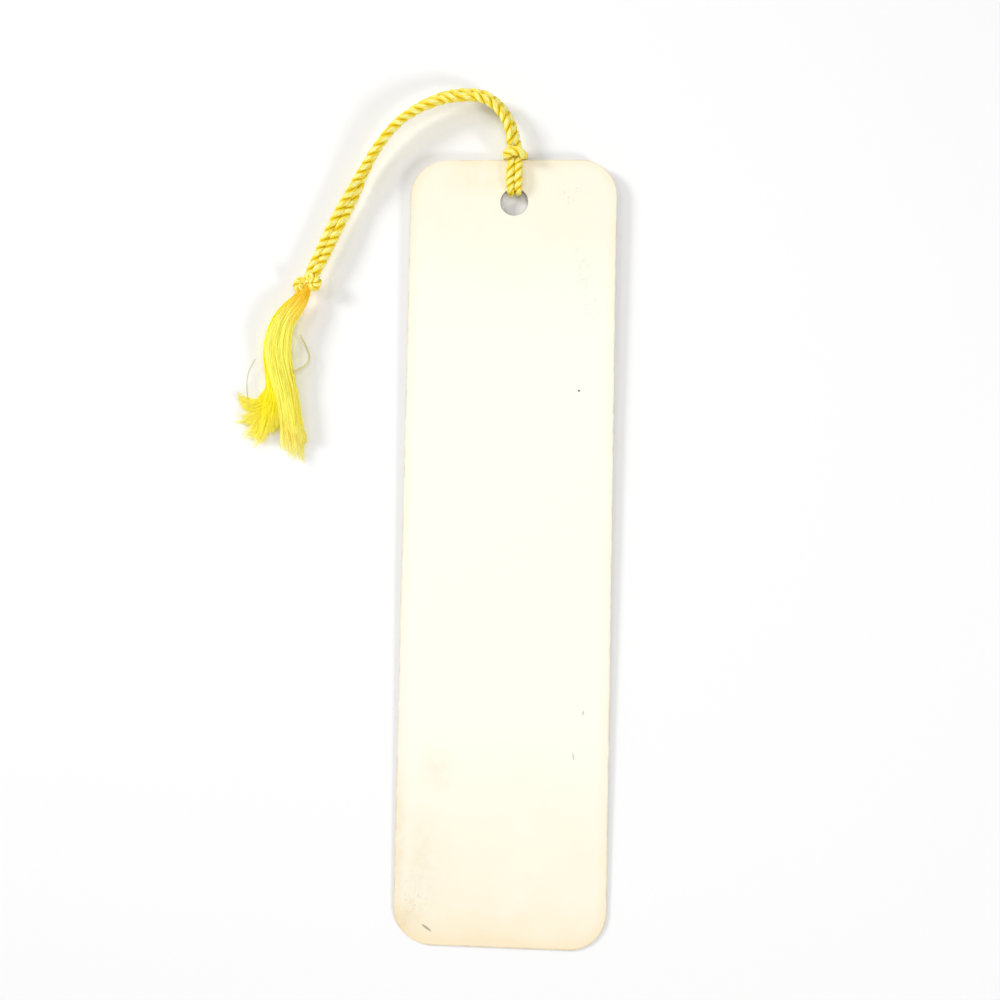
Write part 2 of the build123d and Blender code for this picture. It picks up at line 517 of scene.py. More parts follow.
    def wear(self, point: BoardPoint, kinds: set[Wear]) -> NodeSocket:
        """Adds up the marks of wear on the upper face.

        Args:
            point: the point of the board.
            kinds: the kinds of mark that share one tone.

        Returns:
            The share of that tone.
        """
        tree = point.tree
        stained = Wear.STAIN in kinds
        start, size = (self.stain_start, self.patch_mm) if stained else (self.fleck_start, self.fleck_mm)
        grain = {"Vector": point.place, "Scale": 1 / (size * MM), "Detail": 4.0, "Roughness": 0.7}
        flecks = add_node(tree, "ShaderNodeTexNoise", grain)["Fac"]
        shown = {"Value": flecks, "From Min": start, "From Max": self.fleck_full}
        flecks = add_node(tree, "ShaderNodeMapRange", shown)[0]
        worn = 0.0
        for mark in (m for m in self.marks if m.kind in kinds):
            local = {
                "Vector": point.place,
                "Location": (mark.across * MM, mark.along * MM, 0),
                "Rotation": (0, 0, math.radians(mark.turn)),
                "Scale": (mark.half_length * MM, mark.half_width * MM, 1),
            }
            away = add_node(tree, "ShaderNodeMapping", local, vector_type="TEXTURE")[0]
            away = add_node(tree, VECTORS, {0: away}, operation="LENGTH")["Value"]
            soft = {"Value": away, "From Min": 1.0, "From Max": mark.kind.value, "To Max": mark.strength}
            share = add_node(tree, "ShaderNodeMapRange", soft, interpolation_type="SMOOTHSTEP")[0]
            if mark.kind is not Wear.SPECK:
                share = chain(tree, MATH, share, ("MULTIPLY", flecks))
            worn = chain(tree, MATH, share, ("MAXIMUM", worn))
        upper = chain(tree, MATH, point.facing, ("GREATER_THAN", 0.5))
        return chain(tree, MATH, worn, ("MULTIPLY", upper))

    def cut_side(self, point: BoardPoint) -> NodeSocket:
        """Finds the die-cut sides of the sheet, by a surface that faces neither up nor down."""
        return chain(point.tree, MATH, point.facing, ("ABSOLUTE",), ("LESS_THAN", 0.5))


@dataclass(frozen=True)
class Rayon:
    """What both rayon finishes share: a lit and a shaded tone, mixed by the threads' own attributes into painted
    highlight and painted shade.
    """

    lit_tone: str
    shade_tone: str
    roughness: float
    sheen: float
    sheen_tint: str
    # the weight of a thread's own random tone against its place in the ply or lock, by which the finish paints
    # highlight at the crown and shade below it, and the sums that are fully shaded and fully lit
    tone_weight: float
    tone_range: Span

    def settings(self) -> dict[str, Any]:
        """Gives the shader's sockets that both finishes set."""
        return {
            "Roughness": self.roughness,
            "IOR": 1.53,
            "Sheen Weight": self.sheen,
            "Sheen Roughness": 0.35,
            "Sheen Tint": linear(self.sheen_tint),
        }

    def thread_colour(self, tree: NodeTree) -> NodeSocket:
        """Mixes the two tones, thread by thread: painted highlight where a thread lies out at the crown, painted shade
        where it lies low in a ply or inside a lock, shifted by its own random tone.

        Args:
            tree: the material's tree.

        Returns:
            The colour.
        """
        crown = add_node(tree, "ShaderNodeAttribute", attribute_name="crown")["Fac"]
        tone = add_node(tree, "ShaderNodeAttribute", attribute_name="thread_tone")["Fac"]
        share = chain(tree, MATH, tone, ("MULTIPLY_ADD", self.tone_weight, crown))
        low, high = self.tone_range
        share = add_node(tree, "ShaderNodeMapRange", {"Value": share, "From Min": low, "From Max": high})[0]
        mixed = {0: share, 6: linear(self.shade_tone), 7: linear(self.lit_tone)}
        return add_node(tree, "ShaderNodeMix", mixed, data_type="RGBA")[2]


@dataclass(frozen=True)
class TwistedRayon(Rayon):
    """Plied rayon cord: smooth filament yarn with a silky gloss, golden, with a painted pale highlight along each
    ply's crest and painted golden shade in the grooves between.
    """

    lit_tone: str = "#FFFFA8"
    shade_tone: str = "#F9DE2C"
    roughness: float = 0.38
    sheen: float = 0.12
    sheen_tint: str = "#FFF3A0"
    tone_weight: float = 1.0
    tone_range: Span = (0.9, 1.65)

    def material(self) -> Material:
        """Builds the cord's material on its threads' own attributes."""
        material, tree, shader = new_material("plied_rayon_cord", self.settings())
        tree.links.new(self.thread_colour(tree), shader["Base Color"])
        return material


@dataclass(frozen=True)
class RayonFloss(Rayon):
    """Unravelled rayon filament: fine straight threads, glossy along their length, with painted highlight on a lock's
    outer threads, painted shade on its inner ones, and painted light given off in its own colour.
    """

    lit_tone: str = "#FFFF74"
    shade_tone: str = "#FFDE00"
    roughness: float = 0.36
    sheen: float = 0.06
    sheen_tint: str = "#FFF7B0"
    tone_weight: float = 0.8
    tone_range: Span = (0.6, 1.45)
    # the tones by the knot and at the thin ends, each with the shares of a thread's length that it fades between
    root: str = "#FCC61C"
    root_fade: Span = (0.05, 0.26)
    pale: str = "#FFFAA8"
    pale_fade: Span = (0.78, 1.0)
    pale_most: float = 0.8
    depth_mm: float = 0.25
    # painted light: the floss gives off a little of its own colour, though it is no lamp
    painted_glow: float = 0.1

    def material(self) -> Material:
        """Builds the floss's material on its threads' own attributes."""
        own = {
            "Specular IOR Level": 0.3,
            "Emission Strength": self.painted_glow,
            "Subsurface Weight": 0.4,
            "Subsurface Radius": (1.0, 0.85, 0.3),
            "Subsurface Scale": self.depth_mm * MM,
        }
        material, tree, shader = new_material("unravelled_rayon_floss", self.settings() | own)
        colour = self.thread_colour(tree)
        tip = add_node(tree, "ShaderNodeAttribute", attribute_name="tip")["Fac"]
        start, full = self.root_fade
        freed = add_node(tree, "ShaderNodeMapRange", {"Value": tip, "From Min": start, "From Max": full})[0]
        mixed = {0: freed, 6: linear(self.root), 7: colour}
        colour = add_node(tree, "ShaderNodeMix", mixed, data_type="RGBA")[2]
        start, full = self.pale_fade
        thinning = {"Value": tip, "From Min": start, "From Max": full, "To Max": self.pale_most}
        thinned = add_node(tree, "ShaderNodeMapRange", thinning)[0]
        mixed = {0: thinned, 6: colour, 7: linear(self.pale)}
        colour = add_node(tree, "ShaderNodeMix", mixed, data_type="RGBA")[2]
        tree.links.new(colour, shader["Base Color"])
        # the same colour is given off as painted light
        tree.links.new(colour, shader["Emission Color"])
        return material


@dataclass(frozen=True)
class ThreadTree:
    """What the cord's and the floss's trees share: even steps along the guides, streaks of tone and thread bodies."""

    name: str
    step: float
    sides: int
    ribbon: float
    # how fast the tone changes from thread to thread, and the span of noise that it shows
    streaks: float
    streak_noise: Span = (0.32, 0.68)

    def start(self, sizes: Sequence[str], counts: Sequence[str]) -> tuple[NodeTree, NodeOutputs, NodeSocket]:
        """Starts the tree with its named inputs.

        Args:
            sizes: the names of its lengths and shares.
            counts: the names of its whole numbers.

        Returns:
            The tree, what its inputs give, and its guides in even steps.
        """
        tree = bpy.data.node_groups.new(self.name, "GeometryNodeTree")
        kinds = {"Geometry": "Geometry"} | dict.fromkeys(sizes, "Float") | dict.fromkeys(counts, "Int")
        for name, kind in (kinds | {"Material": "Material"}).items():
            tree.interface.new_socket(name, in_out="INPUT", socket_type=f"NodeSocket{kind}")
        tree.interface.new_socket("Geometry", in_out="OUTPUT", socket_type="NodeSocketGeometry")
        given = add_node(tree, "NodeGroupInput")
        stepped = {"Curve": given["Geometry"], "Length": self.step * MM}
        return tree, given, add_node(tree, "GeometryNodeResampleCurve", stepped, mode="LENGTH")[0]

    def streak_tone(self, tree: NodeTree, lane: NodeSocket, seed: NodeSocket) -> NodeSocket:
        """Gives threads that lie near each other a like tone, so that they show as streaks.

        Args:
            tree: the tree.
            lane: a thread's place among its neighbours.
            seed: the seed of what is random.

        Returns:
            The tone, from nought to one.
        """
        lane = chain(tree, MATH, lane, ("MULTIPLY_ADD", self.streaks, seed))
        smooth = {"W": lane, "Scale": 1.0, "Detail": 1.0}
        tone = add_node(tree, "ShaderNodeTexNoise", smooth, noise_dimensions="1D")["Fac"]
        low, high = self.streak_noise
        return add_node(tree, "ShaderNodeMapRange", {"Value": tone, "From Min": low, "From Max": high})[0]

    def place(
        self, tree: NodeTree, threads: NodeSocket, attributes: Mapping[str, NodeSocket], offset: NodeSocket
    ) -> NodeSocket:
        """Stores what the finish reads on the threads' points, then moves them from their guides.

        Args:
            tree: the tree.
            threads: the threads on their guides.
            attributes: the values to store by name.
            offset: how far each point moves.

        Returns:
            The threads in their places.
        """
        for name, value in attributes.items():
            kept = {"Geometry": threads, "Name": name, "Value": value}
            threads = add_node(
                tree, "GeometryNodeStoreNamedAttribute", kept, data_type="FLOAT", domain="POINT"
            )[0]
        return add_node(tree, "GeometryNodeSetPosition", {"Geometry": threads, "Offset": offset})[0]

    def finish(self, tree: NodeTree, given: NodeOutputs, threads: NodeSocket, scale: NodeSocket) -> NodeTree:
        """Gives the threads their bodies and their finish.

        Args:
            tree: the tree.
            given: what its inputs give.
            threads: the threads as curves.
            scale: the share of full thickness along them.

        Returns:
            The whole tree.
        """
        round_ring = {"Resolution": self.sides, "Radius": given["Thread radius"]}
        ring = add_node(tree, "GeometryNodeCurvePrimitiveCircle", round_ring)[0]
        flattened = {"Geometry": ring, "Scale": (1.0, self.ribbon, 1.0)}
        ring = add_node(tree, "GeometryNodeTransform", flattened)[0]
        swept = {"Curve": threads, "Profile Curve": ring, "Scale": scale, "Fill Caps": True}
        body = add_node(tree, "GeometryNodeCurveToMesh", swept)[0]
        whole = add_node(tree, "GeometryNodeRealizeInstances", {"Geometry": body})[0]
        dressed = {"Geometry": whole, "Material": given["Material"]}
        whole = add_node(tree, "GeometryNodeSetMaterial", dressed)[0]
        add_node(tree, "NodeGroupOutput", {"Geometry": whole})
        return tree


@dataclass(frozen=True)
class LaidCordTree(ThreadTree):
    """A tree that lays plies of thread round a route, right-handed, as a twisted cord is laid."""

    name: str = "laid_cord"
    step: float = 0.28
    sides: int = 5
    ribbon: float = 1.0
    streaks: float = 0.43
    # the lay is a little uneven: by how many turns it wanders, and over what length
    slack: float = 0.5
    slack_mm: float = 8.0

    def build(self) -> NodeTree:
        """Builds the tree, with named inputs for the cord's sizes."""
        tree, given, route = self.start(
            ("Lay length", "Thread lay", "Ply offset", "Ply depth", "Ply breadth", "Thread radius"),
            ("Plies", "Threads", "Seed"),
        )
        repeated = {"Geometry": route, "Amount": chain(tree, MATH, given["Plies"], ("MULTIPLY", given["Threads"]))}
        copies = add_node(tree, "GeometryNodeDuplicateElements", repeated, domain="SPLINE")
        index = copies["Duplicate Index"]
        along = add_node(tree, "GeometryNodeSplineParameter")["Length"]
        kinds = ("Tangent", "Normal", "Radius")
        tangent, normal, swell = (add_node(tree, f"GeometryNodeInput{kind}")[0] for kind in kinds)
        # the plies turn round the route one way
        turn = chain(tree, MATH, index, ("DIVIDE", given["Threads"]))
        ply = chain(tree, MATH, turn, ("FLOOR",), ("DIVIDE", given["Plies"]))
        lay = chain(tree, MATH, along, ("DIVIDE", given["Lay length"]), ("ADD", ply))
        run = chain(tree, MATH, along, ("DIVIDE", self.slack_mm * MM))
        smooth = {"W": run, "Scale": 1.0, "Detail": 1.0}
        wander = add_node(tree, "ShaderNodeTexNoise", smooth, noise_dimensions="1D")["Fac"]
        lay = chain(tree, MATH, wander, ("MULTIPLY_ADD", self.slack, lay), ("MULTIPLY", math.tau))
        turned = {"Vector": normal, "Axis": tangent, "Angle": lay}
        out_to_ply = add_node(tree, "ShaderNodeVectorRotate", turned, rotation_type="AXIS_ANGLE")[0]
        # the threads turn round each ply the other way
        untwist = chain(tree, MATH, along, ("DIVIDE", given["Thread lay"]))
        turn = chain(tree, MATH, turn, ("SUBTRACT", untwist), ("MULTIPLY", math.tau))
        turned = {"Vector": out_to_ply, "Axis": tangent, "Angle": turn}
        out_to_thread = add_node(tree, "ShaderNodeVectorRotate", turned, rotation_type="AXIS_ANGLE")[0]
        # each ply is oval, because it is pressed against its neighbour
        crown = chain(tree, MATH, turn, ("COSINE",))
        oval = chain(tree, MATH, given["Ply depth"], ("SUBTRACT", given["Ply breadth"]))
        reach = chain(tree, MATH, crown, ("MULTIPLY_ADD", oval, given["Ply offset"]))
        ply_place = chain(tree, VECTORS, out_to_ply, ("MULTIPLY", reach))
        offset = chain(tree, VECTORS, out_to_thread, ("MULTIPLY", given["Ply breadth"]), ("ADD", ply_place))
        offset = chain(tree, VECTORS, offset, ("MULTIPLY", swell))
        tone = self.streak_tone(tree, index, given["Seed"])
        # the finish reads crown to paint highlight on each ply's crest and shade in its grooves
        attributes = {"along": along, "crown": crown, "thread_tone": tone}
        threads = self.place(tree, copies["Geometry"], attributes, offset)
        return self.finish(tree, given, threads, swell)


@dataclass(frozen=True)
class FlossTree(ThreadTree):
    """A tree that fills a lock with fine threads along its guides, uneven at their ends."""

    name: str = "floss_lock"
    step: float = 2.2
    sides: int = 4
    ribbon: float = 0.5
    streaks: float = 18.0
    # the thinnest share of a thread's thickness, at its tip, and the share of its length where it starts to thin
    tip: float = 0.55
    taper_start: float = 0.7
    # how far apart in the noise the threads' waves lie
    wave_apart: float = 7.0

    def build(self) -> NodeTree:
        """Builds the tree, with named inputs for the lock's sizes."""
        tree, given, guides = self.start(
            ("Thread radius", "Flatness", "Wave", "Wave length", "Drift", "Uneven ends", "Lowest"),
            ("Threads", "Seed"),
        )
        level = add_node(tree, "GeometryNodeSetCurveNormal", {"Curve": guides}, mode="Z_UP")[0]
        repeated = {"Geometry": level, "Amount": given["Threads"]}
        threads = add_node(tree, "GeometryNodeDuplicateElements", repeated, domain="SPLINE")["Geometry"]
        own = add_node(tree, "GeometryNodeCurveOfPoint")["Curve Index"]
        chances = []
        for salt in range(5):
            seed = chain(tree, MATH, given["Seed"], ("ADD", float(salt)))
            chances.append(add_node(tree, "FunctionNodeRandomValue", {"ID": own, "Seed": seed})[1])
        around, outer, drifting, waving, waved = chances
        factor = add_node(tree, "GeometryNodeSplineParameter")["Factor"]
        kinds = ("Tangent", "Normal", "Radius")
        tangent, normal, half_width = (add_node(tree, f"GeometryNodeInput{kind}")[0] for kind in kinds)
        # each thread keeps its place in the lock and drifts a little round it
        drift = add_node(tree, "ShaderNodeMapRange", {"Value": drifting, "To Min": -1.0, "To Max": 1.0})[0]
        drift = chain(tree, MATH, drift, ("MULTIPLY", given["Drift"]), ("MULTIPLY", factor))
        turn = chain(tree, MATH, around, ("MULTIPLY_ADD", math.tau, drift))
        turned = {"Vector": normal, "Axis": tangent, "Angle": turn}
        outward = add_node(tree, "ShaderNodeVectorRotate", turned, rotation_type="AXIS_ANGLE")[0]
        crown = chain(tree, MATH, outer, ("SQRT",))
        reach = chain(tree, MATH, crown, ("MULTIPLY", half_width))
        squash = add_node(tree, "ShaderNodeCombineXYZ", {0: 1.0, 1: 1.0, 2: given["Flatness"]})[0]
        offset = chain(tree, VECTORS, outward, ("MULTIPLY", reach), ("MULTIPLY", squash))
        # it waves more towards its end
        run = chain(tree, MATH, factor, ("DIVIDE", given["Wave length"]))
        apart = chain(tree, MATH, waving, ("MULTIPLY", self.wave_apart))
        wander = add_node(tree, "ShaderNodeCombineXYZ", {0: run, 1: apart, 2: waved})[0]
        wave = add_node(tree, "ShaderNodeTexNoise", {"Vector": wander, "Scale": 1.0, "Detail": 1.0})["Color"]
        swing = chain(tree, MATH, factor, ("MULTIPLY", given["Wave"]))
        wave = chain(tree, VECTORS, wave, ("SUBTRACT", (0.5, 0.5, 0.5)), ("MULTIPLY", swing))
        offset = chain(tree, VECTORS, offset, ("ADD", wave))
        tone = self.streak_tone(tree, around, given["Seed"])
        # the finish reads crown, a thread's reach from the lock's middle, to paint shade on the inner threads and
        # highlight on the outer ones
        threads = self.place(tree, threads, {"crown": crown, "thread_tone": tone, "tip": factor}, offset)
        # it stays above the table
        split = add_node(tree, "ShaderNodeSeparateXYZ", {0: add_node(tree, "GeometryNodeInputPosition")[0]})
        low = chain(tree, MATH, split[2], ("MAXIMUM", given["Lowest"]))
        place = add_node(tree, "ShaderNodeCombineXYZ", {0: split[0], 1: split[1], 2: low})[0]
        threads = add_node(tree, "GeometryNodeSetPosition", {"Geometry": threads, "Position": place})[0]
        # its end falls short by a random share of its length
        short = add_node(tree, "FunctionNodeRandomValue", {"Seed": given["Seed"]})[1]
        short = chain(tree, MATH, short, ("SQRT",), ("MULTIPLY", given["Uneven ends"]))
        end = chain(tree, MATH, 1.0, ("SUBTRACT", short))
        threads = add_node(tree, "GeometryNodeTrimCurve", {"Curve": threads, 3: end}, mode="FACTOR")[0]
        thinning = {"Value": factor, "From Min": self.taper_start, "To Min": 1.0, "To Max": self.tip}
        return self.finish(tree, given, threads, add_node(tree, "ShaderNodeMapRange", thinning)[0])


@dataclass
class Card:
    """The die-cut card, which keeps its own solid."""

    width: float = 50.8
    length: float = 190.5
    corner: float = 9.0
    lean: float = 0.620
    hole: Triple = (0.3, 84.75, 3.35)
    finish: IvoryBoard = IvoryBoard()

    def place(self, across: float, past_edge: float, above: float) -> Vector:
        """Finds a point by the leaning card.

        Args:
            across: distance to the right of the card's middle.
            past_edge: distance past the card's top edge.
            above: height above the card's underside.

        Returns:
            The point in the row frame, in millimetres.
        """
        lean = math.radians(self.lean)
        along = self.length / 2 + past_edge
        rise = self.length / 2 * math.sin(lean)
        forward = along * math.cos(lean) - above * math.sin(lean)
        return Vector((across, forward, rise + along * math.sin(lean) + above * math.cos(lean)))

    def dress(self) -> None:
        """Gives the card its board."""
        node = frame["nodes"]["card"]
        node.data.materials.clear()
        node.data.materials.append(self.finish.material(self.width, self.length, self.corner, self.hole))


@dataclass
class Cord:
    """The twisted cord: one length, doubled, from the knot up one leg, through the hitch and down the other."""

    lay_length: float = 5.325
    thread_lay: float = 4.8
    ply_offset: float = 0.56
    ply_depth: float = 0.43
    ply_breadth: float = 0.74
    # real filaments are too fine to show, so each thread stands for many
    thread_radius: float = 0.18
    plies: int = 2
    threads: int = 13
    seed: int = 4
    diameter: float = 2.1
    leg_length: float = 81.0
    hitch_shift: float = 0.3
    hitch_twist: float = 3.0
    # where the neck starts and ends along Y, and the X left of which the lower run passes the same places again
    neck_start: float = 98.6
    neck_end: float = 100.7
    neck_left: float = -6.0
    neck_blend: Span = (0.5, 1.8)
    # the legs turn back down on the left, so their blend leans that way to keep all of the lower run past it
    leg_lean: float = -1.07
    leg_blend: Span = (1.0, 4.5)
    finish: TwistedRayon = TwistedRayon()

    # one half of the hitch from its tail: across, past the top edge, above the card's underside, thickness
    half_hitch: Rows = (
        (-0.8, 1.6, 1.5, 0.8),
        (-0.9, -1.0, 1.6, 0.9),
        (-0.97, -3.6, 1.7, 0.95),
        (-0.97, -5.9, 1.62, 0.93),
        (-0.93, -7.3, 1.4, 0.85),
        (-0.88, -8.15, 1.2, 0.77),
        (-0.88, -8.15, -0.7, 0.76),
        (-1.05, -6.9, -1.05, 0.78),
        (-1.5, -3.4, -1.03, 0.79),
        (-1.9, 0.2, -1.0, 0.79),
        (-2.1, 1.45, -0.9, 0.83),
        (-2.15, 1.05, 0.9, 0.86),
        (-2.05, 0.5, 2.6, 0.9),
        (-1.55, 0.95, 3.5, 0.98),
        (-0.6, 1.25, 3.75, 1.0),
    )
    # the middle of the pair from the hitch to the knot: x, y, height, turn of the pair, half spacing
    pair: Rows = (
        (0.05, 98.9, 3.5, -20, 0.74),
        (-0.35, 101.4, 3.6, -44, 0.7),
        (-1.6, 105.3, 3.7, -52, 0.74),
        (-4.6, 109.1, 4.0, -52, 0.84),
        (-8.1, 110.9, 4.5, -42, 0.9),
        (-12.4, 111.0, 4.9, -38, 0.94),
        (-17.6, 110.3, 5.1, -42, 0.9),
        (-23.3, 108.0, 5.1, -58, 0.88),
        (-29.0, 104.2, 4.9, -74, 0.88),
        (-33.5, 98.7, 4.4, -77, 0.88),
        (-37.1, 92.4, 3.7, -90, 0.88),
        (-40.1, 86.1, 3.2, -142, 0.91),
        (-43.4, 79.6, 3.2, -172, 0.93),
        (-46.6, 72.2, 3.3, -180, 0.93),
        (-48.5, 68.3, 3.3, -180, 0.78),
        (-49.6, 66.0, 3.3, -180, 0.52),
        (-50.4, 64.0, 3.3, -180, 0.42),
    )

    def leg_points(self, side: Side) -> list[Vector]:
        """Works out the control points of one leg, from the hitch to the knot.

        Args:
            side: which of the pair's legs.

        Returns:
            The points in millimetres.
        """
        points = []
        for i, (*middle, turn, half) in enumerate(self.pair):
            along, across = directions(self.pair, i)
            over = across.cross(along).normalized()
            angle = math.radians(turn)
            apart = (across * math.cos(angle) + over * math.sin(angle)) * side.value * half
            points.append(Vector(middle) + apart)
        return points

    def route(self, card: Card) -> tuple[list[Vector], list[float], list[float]]:
        """Lists the whole cord's control points, thickness and twist, from the left leg's knot to the right leg's.

        Args:
            card: the card that the hitch holds.

        Returns:
            The points in millimetres, and the share of full thickness and the added turns at each.
        """
        left = self.leg_points(Side.LEFT)
        right = self.leg_points(Side.RIGHT)
        hitch = [card.place(self.hitch_shift + row[0], row[1], row[2]) for row in self.half_hitch]
        hitch += [card.place(self.hitch_shift - row[0], row[1], row[2]) for row in reversed(self.half_hitch)]
        pressed = [row[3] for row in self.half_hitch]
        thickness = [1.0] * len(left) + pressed + pressed[::-1] + [1.0] * len(right)
        twists = [self.hitch_twist * i / (len(hitch) - 1) for i in range(len(hitch))]
        twists = [0.0] * len(left) + twists + [self.hitch_twist] * len(right)
        return left[::-1] + hitch + right, thickness, twists

    def values(self, material: Material) -> dict[str, Any]:
        """Gives the inputs of the tree that lays this cord."""
        return {
            "Lay length": self.lay_length * MM,
            "Thread lay": self.thread_lay * MM,
            "Ply offset": self.ply_offset * MM,
            "Ply depth": self.ply_depth * MM,
            "Ply breadth": self.ply_breadth * MM,
            "Thread radius": self.thread_radius * MM,
            "Plies": self.plies,
            "Threads": self.threads,
            "Seed": self.seed,
            "Material": material,
        }

    def build(self, card: Card, tree: NodeTree, material: Material) -> list[Object]:
        """Lays the cord whole, then cuts it where its stretches move apart.

        Args:
            card: the card that the hitch holds.
            tree: the tree that lays a cord.
            material: the cord's finish.

        Returns:
            The hitch, the neck, the left leg and the right leg.
        """
        points, thickness, twists = self.route(card)
        curve = new_spline_curve("cord_route", [points], [thickness], twists)
        line = read_line(curve)
        runs = np.concatenate([[0], np.cumsum(np.linalg.norm(np.diff(line, axis=0), axis=1))])
        middle = runs[-1] / 2
        cuts = []
        for edge in (self.neck_end * MM, self.neck_start * MM):
            for half in (np.where(runs < middle)[0], np.where(runs >= middle)[0]):
                lower_run = line[half, 0] < self.neck_left * MM
                cuts.append(runs[half[np.argmin(np.abs(line[half, 1] - edge) + lower_run)]])
        left_end, right_end, left_start, right_start = cuts
        whole = grow(curve, tree, self.values(material), "whole_cord")
        hitch = cut_out(whole, "laid_hitch", (left_start, right_start))
        neck = cut_out(whole, "laid_neck", (left_end, left_start), (right_start, right_end))
        left = cut_out(whole, "laid_leg_left", (-math.inf, left_end))
        right = cut_out(whole, "laid_leg_right", (right_end, math.inf))
        bpy.data.objects.remove(whole)
        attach(hitch, "card")
        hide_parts("hitch_loop")
        along = joint_vector("cord_roll", "axis").normalized()
        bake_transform(neck, "card", "neck", *blend_ends(joint_vector("cord_roll", "pos_m"), along, self.neck_blend))
        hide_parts("cord_neck")
        lead = (along + Vector((self.leg_lean, 0, 0))).normalized()
        for leg, node, path in (
            (left, "cord_leg_left", line[runs <= left_end][::-1]),
            (right, "cord_leg_right", line[runs >= right_end]),
        ):
            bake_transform(leg, "neck", "cord", *blend_ends(joint_vector("cord_swing", "pos_m"), lead, self.leg_blend))
            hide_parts(node)
        return [hitch, neck, left, right]


@dataclass
class Knot:
    """The knot that ends the doubled cord: its strands bend round in two lobes, side by side."""

    height: float = 3.3
    lay_length: float = 2.7

    # each strand that shows in the knot, bent round one of its two lobes: x, y, height above the middle, thickness
    strands: tuple[Rows, ...] = (
        (
            (-50.6, 64.9, -0.6, 0.8),
            (-49.9, 65.5, 0.4, 0.9),
            (-48.5, 65.6, 0.9, 0.95),
            (-47.6, 64.3, 0.8, 0.95),
            (-48.2, 62.9, 0.6, 0.92),
            (-49.4, 63.0, 0.6, 0.86),
            (-50.3, 63.7, -0.4, 0.8),
        ),
        (
            (-50.4, 64.3, -0.6, 0.7),
            (-49.6, 64.9, 0.5, 0.74),
            (-48.9, 64.4, 0.9, 0.76),
            (-49.5, 63.7, 0.6, 0.72),
            (-50.2, 63.9, -0.4, 0.7),
        ),
        (
            (-50.6, 64.6, -0.6, 0.72),
            (-51.5, 65.0, 0.4, 0.8),
            (-52.9, 64.3, 0.7, 0.84),
            (-53.2, 62.9, 0.3, 0.82),
            (-52.1, 62.2, 0.3, 0.78),
            (-51.2, 63.2, -0.4, 0.72),
        ),
        (
            (-50.7, 64.2, -0.5, 0.64),
            (-51.7, 64.3, 0.7, 0.7),
            (-52.4, 63.5, 0.8, 0.72),
            (-51.7, 62.9, 0.5, 0.68),
            (-51.0, 63.4, -0.4, 0.64),
        ),
    )

    def build(self, cord: Cord, tree: NodeTree, material: Material) -> Object:
        """Lays the knot's strands.

        Args:
            cord: the cord that the knot is tied in.
            tree: the tree that lays a cord.
            material: the cord's finish.

        Returns:
            The knot.
        """
        routes = [[Vector((x, y, self.height + h)) for x, y, h, _ in strand] for strand in self.strands]
        curve = new_spline_curve("knot_route", routes, [[row[3] for row in strand] for strand in self.strands])
        values = cord.values(material) | {"Lay length": self.lay_length * MM}
        knot = grow(curve, tree, values, "laid_knot")
        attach(knot, "cord")
        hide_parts("tassel_knot")
        return knot


